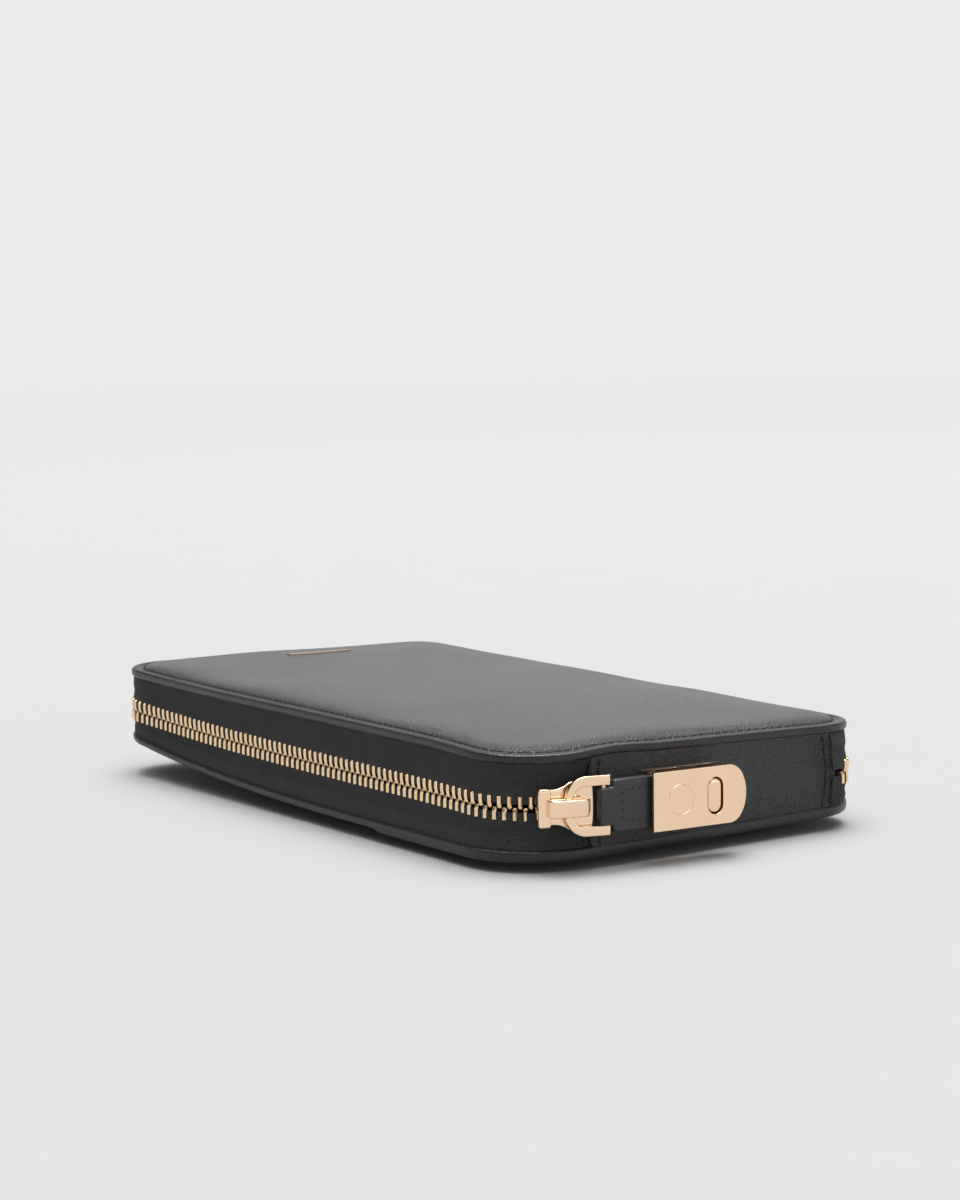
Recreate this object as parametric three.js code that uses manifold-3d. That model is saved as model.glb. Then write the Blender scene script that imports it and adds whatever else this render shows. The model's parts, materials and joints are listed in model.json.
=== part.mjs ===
// A long zip-around wallet: two padded leather covers joined by a leather spine, a metal zip round the
// other three sides, card slots inside each cover and a zipped coin pocket between them.
// Millimetres, +Z up. The wallet lies on its back cover: +X is the spine end, -Y the long side where the
// zip starts. The origin is the middle of the flat face that it rests on.
import * as THREE from "three";
import { mergeVertices } from "three/addons/utils/BufferGeometryUtils.js";
import Module from "manifold-3d";

const wasm = await Module();
wasm.setup();

// ---- driving dimensions ----
const length = 185;
const width = 105;
const corner = 20; // radius of the corner where the slider is parked, seen from above
const otherCorner = 14.5; // of the other three, which the zip pulls tighter
const middle = 15; // height of the zip's centre line above the rest face
const gap = 0.3; // between pieces that touch on the real wallet

const backPad = 2.5; // how far the back cover bulges below its edge
const frontPad = 1.5; // how far the front cover bulges above its edge
const bindingThick = 2.6;
const bindingWide = 3;
const wallHeight = 19.8; // between the two bindings
const turnedEdge = 5; // solid leather edge of a cover, inside the binding
const skin = 1.3; // leather over the padding

const tapeIn = 1.9; // from the wallet's outline to the tape's outer face
const tapeThick = 0.7;
const tapeSplit = 3.25; // from the zip's centre line to each tape's free edge, behind the teeth
const toothPitch = 2.35;
const toothWide = 1.1;
const toothTip = 0.8; // from the centre line to a tooth's tip, so that the slider's post passes
const toothRoot = 3;
const toothThick = 2.2;
const beadTall = 0.8; // of the corded edge that the teeth sit on
const stopBefore = 3.1; // from the first corner back to the stops, just past the closed slider
const stopThick = 0.9;
const stopTall = 1.9;

const liningThick = 0.6;
const slotThick = 0.4;
const slotCount = 4;
const slotStep = 12; // between the mouths of two card slots

// ---- places worked out from them ----
const spineX = length / 2;
const sideY = width / 2;
const wallLow = middle - wallHeight / 2;
const cornerX = spineX - corner;
const cornerY = sideY - corner;
// The four corners, in the order that the zip passes them.
const corners = [
  [1, -1, corner],
  [-1, -1, otherCorner],
  [-1, 1, otherCorner],
  [1, 1, otherCorner],
].map(([sideOfX, sideOfY, r]) => ({ x: sideOfX * (spineX - r), y: sideOfY * (sideY - r), r }));
const quarter = Math.PI / 2;
const arcSteps = 4; // an arc gets twice as many segments

// ---- materials ----
const finish = (color, roughness, metalness = 0) =>
  new THREE.MeshStandardMaterial({ color, roughness, metalness });
const leather = finish(0x2b2a2b, 0.5);
const tapeCloth = finish(0x1c1c1e, 0.9);
const liningCloth = finish(0x222225, 0.8);
const gold = finish(0xe0b184, 0.22, 1);
const board = finish(0x8a7a66, 0.9);
const foam = finish(0xd8d4c8, 1);
const coilPlastic = finish(0x1a1a1a, 0.5);

// ---- solid helpers ----
function toSolid(geometry) {
  const bare = geometry.clone();
  bare.deleteAttribute("normal");
  bare.deleteAttribute("uv");
  const merged = mergeVertices(bare, 1e-4);
  return new wasm.Manifold(
    new wasm.Mesh({
      numProp: 3,
      vertProperties: merged.attributes.position.array,
      triVerts: new Uint32Array(merged.index.array),
    }),
  );
}

function toGeometry(solid) {
  const made = solid.getMesh();
  return new THREE.BufferGeometry()
    .setAttribute("position", new THREE.BufferAttribute(made.vertProperties, 3))
    .setIndex(new THREE.BufferAttribute(made.triVerts, 1));
}

const join = (first, ...others) => toGeometry(others.reduce((all, g) => all.add(toSolid(g)), toSolid(first)));
const cut = (first, ...others) =>
  toGeometry(others.reduce((all, g) => all.subtract(toSolid(g)), toSolid(first)));
const keep = (first, other) => toGeometry(toSolid(first).intersect(toSolid(other)));

// A box between two corners.
function block(x0, y0, z0, x1, y1, z1) {
  return new THREE.BoxGeometry(x1 - x0, y1 - y0, z1 - z0).translate(
    (x0 + x1) / 2,
    (y0 + y1) / 2,
    (z0 + z1) / 2,
  );
}

// A flat shape given a thickness between two heights.
function slab(shape, z0, z1) {
  return new THREE.ExtrudeGeometry(shape, {
    depth: z1 - z0,
    bevelEnabled: false,
    curveSegments: arcSteps,
  }).translate(0, 0, z0);
}

// A round bar along Z, or turned to lie along X or Y.
function bar(radius, from, to, axis = "z") {
  const made = new THREE.CylinderGeometry(radius, radius, to - from, 14).rotateX(quarter);
  made.translate(0, 0, (from + to) / 2);
  if (axis === "x") made.rotateY(quarter);
  if (axis === "y") made.rotateX(-quarter);
  return made;
}

// ---- outlines seen from above ----
// A rectangle with round corners between two X and two Y values.
function roundedBox(x0, x1, y0, y1, radius) {
  const shape = new THREE.Shape();
  shape.absarc(x1 - radius, y1 - radius, radius, 0, quarter);
  shape.absarc(x0 + radius, y1 - radius, radius, quarter, 2 * quarter);
  shape.absarc(x0 + radius, y0 + radius, radius, 2 * quarter, 3 * quarter);
  shape.absarc(x1 - radius, y0 + radius, radius, 3 * quarter, 4 * quarter);
  return shape;
}

// A path's turn round one of the wallet's corners, clockwise from above.
function turnCorner(path, i, inset, from = -i * quarter, to = -(i + 1) * quarter) {
  const { x, y, r } = corners[i];
  path.absarc(x, y, r - inset, from, to, true);
}

// The wallet's outline, drawn in by an inset. It runs the other way round, as a solid shape's edge does.
function outline(inset) {
  const shape = new THREE.Shape();
  for (const i of [3, 2, 1, 0]) {
    const { x, y, r } = corners[i];
    shape.absarc(x, y, r - inset, -(i + 1) * quarter, -i * quarter, false);
  }
  return shape;
}

function frameShape(outerInset, innerInset) {
  const shape = outline(outerInset);
  shape.holes.push(new THREE.Path(outline(innerInset).getPoints(arcSteps)));
  return shape;
}

// One edge of a band that follows the zip: from nearY on the spine side, round three sides, to an angle
// on the last corner.
function zipSide(path, inset, nearY, lastAngle) {
  path.moveTo(spineX - inset, nearY);
  path.lineTo(spineX - inset, -cornerY);
  for (const i of [0, 1, 2]) turnCorner(path, i, inset);
  turnCorner(path, 3, inset, quarter, lastAngle);
  return path.getPoints(arcSteps);
}

function zipBand(inset, thick, nearY, lastAngle) {
  const outer = zipSide(new THREE.Path(), inset, nearY, lastAngle);
  const inner = zipSide(new THREE.Path(), inset + thick, nearY, lastAngle);
  return new THREE.Shape([...outer, ...inner.reverse()]);
}

// ---- covers ----
// A padded cover: its flat face is at height 0 and its inner side faces up.
function coverShell(pad) {
  const dome = 11;
  const rise = pad + bindingThick - gap;
  const outer = new THREE.ExtrudeGeometry(outline(bindingWide + gap + dome), {
    depth: rise,
    bevelThickness: pad,
    bevelSize: dome,
    bevelSegments: 3,
    curveSegments: arcSteps,
  }).translate(0, 0, pad);
  const half = block(-length, -width, -1, length, width, rise);
  const recess = slab(outline(bindingWide + turnedEdge), skin, rise + 1);
  return cut(keep(outer, half), recess);
}

// Everything that one half of the wallet holds, built lying on its cover.
function halfParts(pad) {
  const inside = bindingWide + turnedEdge + gap;
  const top = pad + bindingThick;
  const slots = [];
  const slotX = spineX - 9;
  const slotFar = 40;
  for (let i = 0; i < slotCount; i++) {
    const z = top + gap + liningThick + gap + i * (slotThick + gap);
    const shape = roundedBox(-slotX, slotX - 6, -slotFar, slotFar - i * slotStep, 2);
    slots.push(slab(shape, z, z + slotThick));
  }
  return {
    binding: slab(frameShape(0, bindingWide), pad, top),
    padding: slab(outline(inside), skin + gap, top - 1.9),
    board: slab(outline(inside), top - 1.6, top - 0.6),
    lining: slab(outline(6), top + gap, top + gap + liningThick),
    slots,
  };
}

// ---- zip ----
const tapeMid = tapeIn + tapeThick / 2;
const zipRadius = corner - tapeMid;

// The zip's line as stretches: a turn, the straight to the next turn, and so on.
const turnEnd = ({ x, y, r }, angle) =>
  new THREE.Vector2(x + Math.cos(angle) * (r - tapeMid), y + Math.sin(angle) * (r - tapeMid));
const stretches = corners.flatMap((here, i) => {
  const angle = -(i + 1) * quarter;
  const start = turnEnd(here, angle);
  const end = turnEnd(corners[(i + 1) % 4], angle);
  const radius = here.r - tapeMid;
  return [
    { turn: true, size: radius * quarter, x: here.x, y: here.y, from: -i * quarter, radius },
    { turn: false, size: start.distanceTo(end), x: start.x, y: start.y, from: angle, radius },
  ];
});

const zipLong = stretches.reduce((sum, stretch) => sum + stretch.size, 0);

// The point and the outward direction at a distance along the zip, from the start of the first corner.
function zipPoint(s) {
  let rest = s;
  let i = 0;
  while (rest > stretches[i].size && i < stretches.length - 1) rest -= stretches[i++].size;
  const { turn, x, y, from, radius } = stretches[i];
  const angle = turn ? from - rest / radius : from;
  const out = new THREE.Vector2(Math.cos(angle), Math.sin(angle));
  const along = new THREE.Vector2(out.y, -out.x);
  const at = new THREE.Vector2(x, y);
  if (turn) at.addScaledVector(out, radius);
  else at.addScaledVector(along, rest);
  return { at, out };
}

// A row of teeth on its bead, from one distance along the zip to another. side is 1 for the upper row.
function teethRow(start, end, side) {
  const first = -start / zipRadius;
  const last = teethTurn;
  const inset = tapeMid - toothThick / 2;
  const path = (depth) => {
    const p = new THREE.Path();
    turnCorner(p, 0, depth, first, -quarter);
    turnCorner(p, 1, depth);
    turnCorner(p, 2, depth);
    turnCorner(p, 3, depth, quarter, last);
    return p.getPoints(arcSteps);
  };
  const strip = new THREE.Shape([...path(inset), ...path(inset + toothThick).reverse()]);
  const heights = [toothRoot - beadTall, toothRoot].map((z) => middle + side * z).sort((p, q) => p - q);
  const teeth = [];
  const shift = side > 0 ? 0.35 : 0.85;
  const count = Math.floor((end - start) / toothPitch - 1);
  const tall = toothRoot - beadTall / 2 - toothTip;
  for (let i = 0; i < count; i++) {
    const { at, out } = zipPoint(start + (i + shift) * toothPitch);
    const tooth = new THREE.BoxGeometry(toothThick - 0.1, toothWide, tall);
    tooth.rotateZ(Math.atan2(out.y, out.x));
    teeth.push(tooth.translate(at.x, at.y, middle + side * (toothTip + tall / 2)));
  }
  return toGeometry(wasm.Manifold.union([slab(strip, ...heights), ...teeth].map(toSolid)));
}

// ---- slider, in its own frame: X along the zip towards the spine, Y outwards, Z up ----
const sliderLong = 13;
const sliderTail = 4.2; // half height of the narrow end
const sliderFlare = 6.2; // half height of the wide end
const outerPlate = 1.7; // from the tape's middle to the outer plate
const plateThick = 1.2;
const bridgeTop = 6.4;
const bridgeThick = 1.1;

function plateOf(from, to, tail, flare, y0, y1) {
  const shape = new THREE.Shape();
  shape.moveTo(from, -tail);
  shape.lineTo(from + 3, -tail);
  shape.lineTo(to - 3.5, -flare);
  shape.lineTo(to - 1, -flare);
  shape.lineTo(to, -flare + 2.5);
  shape.lineTo(to, flare - 2.5);
  shape.lineTo(to - 1, flare);
  shape.lineTo(to - 3.5, flare);
  shape.lineTo(from + 3, tail);
  shape.lineTo(from, tail);
  // Drawn across X and Z, then stood up so that its thickness runs outwards.
  return slab(shape, -y1, -y0).rotateX(quarter);
}

function sliderBody() {
  const half = sliderLong / 2;
  const front = outerPlate + plateThick;
  return join(
    plateOf(-half, half, sliderTail, sliderFlare, outerPlate, front),
    plateOf(-half + 1, half - 1, 3.6, 4.4, -3.2, -2.2),
    block(2.6, -2.6, -0.5, 5, front - 0.5, 0.5), // the post that parts the teeth
    block(-5, front - 0.5, -1.9, -3.5, bridgeTop, 1.9),
    block(3, front - 0.5, -1.9, 4.5, bridgeTop, 1.9),
    block(-5, bridgeTop - bridgeThick, -1.9, 4.5, bridgeTop, 1.9),
  );
}

// ---- pull: the link hangs in the slider's bridge, the strap on the link's pin ----
const linkTall = 13.5;
const linkLong = 10.5;
const linkBar = 2.3;
const linkEye = 1.8; // the thinner end that turns in the bridge
const linkThick = 1.4;
const pinRadius = 0.9;
const pinReach = 8.2; // from the link's turning axis to its pin

// A horseshoe: +X towards the pin, from the axis of its closed end.
function linkBody() {
  const half = linkTall / 2;
  const bend = 5;
  const inner = bend - linkBar;
  const start = -linkEye / 2;
  const end = linkLong + start;
  const shape = new THREE.Shape();
  shape.moveTo(end, -half);
  shape.lineTo(end, -half + linkBar);
  shape.absarc(start + linkEye + inner, -half + bend, inner, -quarter, -2 * quarter, true);
  shape.absarc(start + linkEye + inner, half - bend, inner, 2 * quarter, quarter, true);
  shape.lineTo(end, half - linkBar);
  shape.lineTo(end, half);
  shape.absarc(start + bend, half - bend, bend, quarter, 2 * quarter, false);
  shape.absarc(start + bend, -half + bend, bend, 2 * quarter, 3 * quarter, false);
  const flat = slab(shape, -linkThick / 2, linkThick / 2).rotateX(quarter);
  const hole = bar(0.55, -half - 1, half + 1).translate(pinReach, 0, 0);
  return cut(flat, hole);
}

const strapThick = 2.4;
const strapNeck = 8; // its width between the link's prongs
const tabStart = 11.4; // from the pin to the tab
const tabLong = 25.2;
const tabRound = 4.4; // how far its round end bulges
const tabTall = 13.3;
const tabThick = 6;
const tabWall = 0.9;
const rivetAt = tabStart + 3.4;

// The strap, +X from the pin towards the tab: a neck round the pin, a wide part and a tongue in the tab.
function strapBody() {
  const half = strapThick / 2;
  const wide = tabTall / 2 - 0.7;
  const tongue = tabTall / 2 - tabWall - gap;
  return cut(
    join(
      bar(half, -strapNeck / 2, strapNeck / 2),
      block(0, -half, -strapNeck / 2, 4, half, strapNeck / 2),
      block(2.2, -half, -wide, tabStart - gap, half, wide),
      block(tabStart - 2, -half, -tongue, tabStart + 7, half, tongue),
    ),
    bar(pinRadius, -strapNeck, strapNeck),
    bar(1.1, -tabThick, tabThick, "y").translate(rivetAt, 0, 0),
  );
}

// A flat outline with a square start and a round end, stood up on its edge.
function tabShape(start, end, tall, y0, y1) {
  const r = tall / 2;
  const shape = new THREE.Shape();
  shape.moveTo(start, r);
  shape.lineTo(start, -r);
  shape.absellipse(end - tabRound, 0, tabRound, r, -quarter, quarter, false, 0);
  return slab(shape, -y1, -y0).rotateX(quarter);
}

// An upright oblong with round ends, its thickness along Y.
function oblong(x, wide, tall, y0, y1) {
  const r = wide / 2;
  const straight = tall / 2 - r;
  const shape = new THREE.Shape();
  shape.absarc(x, straight, r, 0, 2 * quarter, false);
  shape.absarc(x, -straight, r, 2 * quarter, 4 * quarter, false);
  return slab(shape, -y1, -y0).rotateX(quarter);
}

const inlayX = tabStart + 16.7;

function tabCase() {
  const half = tabThick / 2;
  const inside = half - tabWall;
  return cut(
    tabShape(tabStart, tabStart + tabLong, tabTall, -half, half),
    tabShape(tabStart - 1, tabStart + tabLong - tabWall, tabTall - 2 * tabWall, -inside, inside),
    oblong(inlayX, 4.8, 9.3, 0, half + 1),
    bar(1.1, -half - 1, 0, "y").translate(rivetAt, 0, 0),
  );
}

// ---- coin pocket: a flat pouch with its own zip in the upper wall ----
const pouchLow = 13.8;
const pouchHigh = 16.2;
const pouchWall = 0.5;
const pouchSpine = spineX - 8; // its edge near the spine
const coinZipY = -28;
const coinSlotHalf = 3.4;
const coinZipFrom = -70;
const coinZipTo = 62;
const coinPost = 0.5;

const pouchShape = () => roundedBox(-spineX + 12, pouchSpine, -sideY + 11, sideY - 11, 10);

function pouchUpperWall() {
  const shape = pouchShape();
  const slot = roundedBox(coinZipFrom, coinZipTo, coinZipY - coinSlotHalf, coinZipY + coinSlotHalf, 0.5);
  shape.holes.push(new THREE.Path(slot.getPoints(1)));
  return slab(shape, pouchHigh - pouchWall, pouchHigh);
}

function pouchEdge() {
  const shape = pouchShape();
  const hollow = roundedBox(-spineX + 14, pouchSpine - 2, -sideY + 13, sideY - 13, 8);
  shape.holes.push(new THREE.Path(hollow.getPoints(arcSteps)));
  return slab(shape, pouchLow + pouchWall + gap, pouchHigh - pouchWall - gap);
}

// Half of the coin zip: a tape under the wall's edge, or the coil on it.
function coinStrip(side, from, to, z0, z1) {
  const y = [coinZipY + side * from, coinZipY + side * to].sort((a, b) => a - b);
  return block(coinZipFrom + 2, y[0], z0, coinZipTo - 2, y[1], z1);
}

const coinSliderX = coinZipTo - 8;

function coinSlider() {
  return join(
    block(-3.5, -3, 1.5, 3.5, 3, 2.1),
    block(-3.5, -2.6, -0.65, 3.5, 2.6, -0.15),
    block(1.6, -coinPost / 2, -0.4, 3, coinPost / 2, 1.8),
    block(-2.8, -1, 2, -2, 1, 3.2),
    block(1.6, -1, 2, 2.4, 1, 3.2),
    block(-2.8, -1, 2.8, 2.4, 1, 3.2),
  );
}

function coinPull() {
  const shape = roundedBox(-1.4, 13, -1.9, 1.9, 1.5);
  shape.holes.push(new THREE.Path(roundedBox(-0.75, 3.2, -1.3, 1.3, 0.4).getPoints(1)));
  return slab(shape, -0.22, 0.22);
}

// ---- assembly ----
const wallet = new THREE.Group();

function add(name, geometry, material, parent = wallet) {
  const mesh = new THREE.Mesh(geometry, material);
  mesh.name = name;
  parent.add(mesh);
  return mesh;
}

// The back half lies as it is built, and the front half is turned over onto it.
const frontHalf = new THREE.Group();
frontHalf.rotation.x = Math.PI;
frontHalf.position.z = middle * 2 - (backPad - frontPad);
wallet.add(frontHalf);

function addHalf(side, parts, group) {
  add(side + "_edge_binding", parts.binding, leather, group);
  add(side + "_padding", parts.padding, foam, group);
  add(side + "_board", parts.board, board, group);
  add(side + "_lining", parts.lining, liningCloth, group);
  parts.slots.forEach((slot, i) => add(side + "_card_slot_" + (i + 1), slot, liningCloth, group));
}
addHalf("back", halfParts(backPad), wallet);
addHalf("front", halfParts(frontPad), frontHalf);

// The back cover has a step that takes the outside card pocket, so both rest on one plane.
const pocketEdge = 36.5;
const pocketThick = 0.9;
const pocketArea = roundedBox(pocketEdge, spineX - 5, -sideY + 5, sideY - 5, 15);
add(
  "back_cover",
  cut(coverShell(backPad), slab(pocketArea, -1, pocketThick + gap).translate(-0.01, 0, 0)),
  leather,
);
const pocketPanel = roundedBox(pocketEdge + gap, spineX - 14.5, -sideY + 14.5, sideY - 14.5, 5.5);
add("back_card_pocket", slab(pocketPanel, 0, pocketThick), leather);
add("front_cover", coverShell(frontPad), leather, frontHalf);
const badge = roundedBox(-spineX + 17.6, -spineX + 19.8, -8.5, 11.5, 0.8);
const frontTop = 2 * middle - (backPad - frontPad);
add("front_badge", slab(badge, frontTop + 0.02, frontTop + 0.8), gold);

// The spine panel stands outside the tape's ends and turns a little way round the far corner.
const panelNear = -31.5;
const panelTurn = 0.19; // how far round the corner, in radians
const panelIn = 0.2;
const panelThick = 1.4;
function spineBand(inset, thick, nearY, turn) {
  const { x, y, r } = corners[3];
  const edge = (radius) => {
    const path = new THREE.Path();
    path.moveTo(x + radius, nearY);
    path.lineTo(x + radius, y);
    path.absarc(x, y, radius, 0, turn, false);
    return path.getPoints(3);
  };
  return new THREE.Shape([...edge(r - inset), ...edge(r - inset - thick).reverse()]);
}
const wallBase = wallLow + gap;
const wallTop = wallLow + wallHeight - gap;
add("spine_panel", slab(spineBand(panelIn, panelThick, panelNear, panelTurn), wallBase, wallTop), leather);
const spineInside = spineX - panelIn - panelThick - gap;
add("spine_board", block(spineInside - 1, -22, wallBase + 1, spineInside, 30, wallTop - 1), board);
add(
  "spine_lining",
  block(spineInside - 1 - gap - liningThick, -22, wallBase + 1, spineInside - 1 - gap, 30, wallTop - 1),
  liningCloth,
);

// The tapes, each sewn to one cover. Near the slider the upper one stands clear of it.
const tapeNearY = panelNear + 3.5;
const tapeEnd = panelTurn - 0.1;
const band = () => zipBand(tapeIn, tapeThick, tapeNearY, tapeEnd);
add("lower_tape", slab(band(), wallBase, middle - tapeSplit), tapeCloth);
const sliderTurn = (-16 * Math.PI) / 180; // where the slider is parked on the first corner
const sliderHalfTurn = Math.atan2(sliderLong / 2, zipRadius);
const notch = block(cornerX, -cornerY - zipRadius * 0.92, middle - 8, spineX, tapeNearY + 1, middle + 5.4);
add("upper_tape", cut(slab(band(), middle + tapeSplit, wallTop), notch), tapeCloth);

// The teeth run from the slider's tail to the spine panel's far end.
const teethStart = zipRadius * (sliderHalfTurn - sliderTurn) + 1.2;
const teethTurn = panelTurn + 0.03; // where they end on the last corner
const toLastTurn = stretches.slice(0, 7).reduce((sum, stretch) => sum + stretch.size, 0);
const teethEnd = toLastTurn - stretches[6].radius * teethTurn;
add("lower_teeth", teethRow(teethStart, teethEnd, -1), gold);
add("upper_teeth", teethRow(teethStart, teethEnd, 1), gold);

// The stops that end the slider's travel, one on each tape.
for (const [name, side] of [
  ["lower", -1],
  ["upper", 1],
]) {
  const { at, out } = zipPoint(zipLong - stopBefore);
  const stop = new THREE.BoxGeometry(stopThick, 1.8, stopTall).rotateZ(Math.atan2(out.y, out.x));
  const height = middle + side * (toothRoot - stopTall / 2);
  add(name + "_zip_stop", stop.translate(at.x, at.y, height), gold);
}

// The slider, turned to its place on the corner.
const slider = new THREE.Group();
slider.position.set(
  cornerX + zipRadius * Math.cos(sliderTurn),
  -cornerY + zipRadius * Math.sin(sliderTurn),
  middle,
);
// Its X axis is the zip's direction there, and a half turn about X then makes its Y axis point outwards.
slider.rotation.set(Math.PI, 0, sliderTurn + quarter, "ZYX");
wallet.add(slider);
add("slider_body", sliderBody(), gold, slider);

// The link turns in the bridge and leans out past the corner.
const linkOut = (outerPlate + plateThick + bridgeTop - bridgeThick) / 2;
const linkAxis = new THREE.Vector3(
  cornerX + (zipRadius + linkOut) * Math.cos(sliderTurn),
  -cornerY + (zipRadius + linkOut) * Math.sin(sliderTurn),
  middle,
);
const linkHeading = sliderTurn + quarter;
const link = new THREE.Group();
link.position.copy(linkAxis);
link.rotation.z = linkHeading;
wallet.add(link);
add("pull_link", linkBody(), gold, link);
const pin = bar(0.5, -linkTall / 2 + 0.1, linkTall / 2 - 0.1).translate(pinReach, 0, 0);
add("pull_pin", pin, gold, link);

// The strap and the tab lie along the spine panel.
const pull = new THREE.Group();
pull.position.set(
  linkAxis.x + pinReach * Math.cos(linkHeading),
  linkAxis.y + pinReach * Math.sin(linkHeading),
  middle,
);
const pullHeading = (85.8 * Math.PI) / 180;
// A half turn about its own length puts the tab's front face outwards.
pull.rotation.set(Math.PI, 0, pullHeading, "ZYX");
wallet.add(pull);
add("pull_strap", strapBody(), leather, pull);
add("pull_tab", tabCase(), gold, pull);
const tabInside = tabThick / 2 - tabWall;
add("pull_tab_inlay", oblong(inlayX, 3.8, 8.2, -tabInside + 0.05, tabThick / 2 - 0.4), gold, pull);
add("pull_rivet", bar(0.8, -tabThick / 2 + 0.1, tabInside - 0.1, "y").translate(rivetAt, 0, 0), gold, pull);

// The coin pocket between the two halves.
add("coin_pocket_lower_wall", slab(pouchShape(), pouchLow, pouchLow + pouchWall), liningCloth);
add("coin_pocket_upper_wall", pouchUpperWall(), liningCloth);
add("coin_pocket_edge", pouchEdge(), liningCloth);
const flapEnd = spineX - 4.4;
add("coin_pocket_flap", block(pouchSpine + gap, -24, middle - 0.3, flapEnd, 34, middle + 0.3), liningCloth);
const coinTapeTop = pouchHigh - pouchWall - gap;
for (const [name, side] of [
  ["near", -1],
  ["far", 1],
]) {
  add("coin_tape_" + name, coinStrip(side, 0.9, 7, coinTapeTop - 0.4, coinTapeTop), tapeCloth);
  const coil = coinStrip(side, 0.6, 1.9, coinTapeTop + 0.05, coinTapeTop + 0.9);
  add("coin_coil_" + name, coil, coilPlastic);
}
const coinAxle = new THREE.Group();
coinAxle.position.set(coinSliderX, coinZipY, coinTapeTop - 0.4);
wallet.add(coinAxle);
add("coin_slider", coinSlider(), gold, coinAxle);
add("coin_pull", coinPull().translate(0, 0, 2.45), gold, coinAxle);

export default wallet;
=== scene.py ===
# %% [markdown]
# # A long zip-around wallet
# The wallet lies closed on its back cover. Each half is a padded leather cover in a rolled leather rim. A
# woven tape with metal teeth joins the halves round three sides, and a leather panel closes the short side,
# the spine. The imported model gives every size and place; this file gives each piece its real surface.
# It is in metres, but lengths are easier to read in millimetres, so they are written as numbers times MM.

# %% Load the frame
import json
import math

import bmesh
import bpy
import numpy as np
from mathutils import Matrix, Vector


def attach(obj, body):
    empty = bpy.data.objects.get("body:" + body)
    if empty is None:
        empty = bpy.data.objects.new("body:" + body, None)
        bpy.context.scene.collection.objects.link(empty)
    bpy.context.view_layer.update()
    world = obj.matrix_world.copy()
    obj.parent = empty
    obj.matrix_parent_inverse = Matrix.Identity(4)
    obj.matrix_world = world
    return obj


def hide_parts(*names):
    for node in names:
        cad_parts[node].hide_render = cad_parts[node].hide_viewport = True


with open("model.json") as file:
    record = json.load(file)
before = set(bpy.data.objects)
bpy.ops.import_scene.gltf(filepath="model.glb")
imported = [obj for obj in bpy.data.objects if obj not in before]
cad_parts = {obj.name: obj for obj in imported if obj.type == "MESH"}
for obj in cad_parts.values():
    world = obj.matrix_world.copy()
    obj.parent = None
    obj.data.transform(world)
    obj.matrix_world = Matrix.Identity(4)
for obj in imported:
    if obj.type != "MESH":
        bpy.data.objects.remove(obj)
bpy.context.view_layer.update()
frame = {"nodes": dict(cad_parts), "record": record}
MM = 0.001

# %% [markdown]
# ## The outline
# Rims, tapes, teeth and stitches all follow one rounded rectangle. It is drawn once, as a function of the
# distance along the zip and of how far inside the edge a line runs, so that every piece shares its corners.

# %% The outline as a function of two parameters
LENGTH, WIDTH = 185.0, 105.0
SPINE_X, SIDE_Y = LENGTH / 2, WIDTH / 2
MIDDLE = 15.0  # height of the zip's centre line
ZIP_IN = 2.25  # from the outline to the zip's line
# The four corners in the order that the zip passes them. The slider is parked on the first, widest one.
CORNER = np.array([20.0, 14.5, 14.5, 14.5])
CORNER_X = np.array([1.0, -1.0, -1.0, 1.0]) * (SPINE_X - CORNER)
CORNER_Y = np.array([-1.0, -1.0, 1.0, 1.0]) * (SIDE_Y - CORNER)
ARCS = (CORNER - ZIP_IN) * math.pi / 2
STRAIGHTS = np.abs(np.roll(CORNER_X, -1) - CORNER_X)
STRAIGHTS[1::2] = np.abs(np.roll(CORNER_Y, -1) - CORNER_Y)[1::2]
STRETCHES = np.stack([ARCS, STRAIGHTS], 1).ravel()
STARTS = np.concatenate([[0.0], np.cumsum(STRETCHES)])
WHOLE = STARTS[-1]


def around(along, inset):
    """Points (x, y) and outward directions on the outline drawn in by an inset, in millimetres.

    A stretch is either a quarter circle of radius (corner - inset) about a corner's centre, or the straight
    from that circle's end to the start of the next one. Past the corner's radius the radius stays 0 and the
    centres move in instead."""
    along, inset = np.broadcast_arrays(np.mod(along, WHOLE), inset)
    stretch = np.clip(np.searchsorted(STARTS, along, side="right") - 1, 0, 7)
    part = (along - STARTS[stretch]) / STRETCHES[stretch]
    start, end = stretch // 2, (stretch + 1) // 2 % 4
    turning = stretch % 2 == 0
    angle = -math.pi / 2 * (start + np.where(turning, part, 1.0))
    out = np.stack([np.cos(angle), np.sin(angle)], -1)

    def on_circle(which):
        radius = np.maximum(CORNER[which] - inset, 0.0)
        x = np.clip(CORNER_X[which], inset - SPINE_X, SPINE_X - inset)
        y = np.clip(CORNER_Y[which], inset - SIDE_Y, SIDE_Y - inset)
        return np.stack([x, y], -1) + radius[..., None] * out

    mix = np.where(turning, 0.0, part)[..., None]
    return on_circle(start) * (1 - mix) + on_circle(end) * mix, out


def steps(start, end, size=2.0, arc_size=1.1):
    """Distances along the zip from start to end, closer together on the corners."""
    marks = np.concatenate([STARTS, STARTS[1:] + WHOLE])
    edges = np.concatenate([[start], marks[(marks > start) & (marks < end)], [end]])
    runs = []
    for low, high in zip(edges[:-1], edges[1:]):
        middle = np.mod((low + high) / 2, WHOLE)
        bent = (np.searchsorted(STARTS, middle) - 1) % 2 == 0
        count = max(1, math.ceil((high - low) / (arc_size if bent else size)))
        runs.append(np.linspace(low, high, count, endpoint=False))
    return np.concatenate(runs + [[end]])


print("the outline is", round(WHOLE, 1), "mm round")

# %% [markdown]
# ## Meshes from arrays
# A surface is a grid of points. Its faces are the same for every grid, so they are worked out from the
# grid's size alone, and each piece only has to say where its points are.

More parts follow.
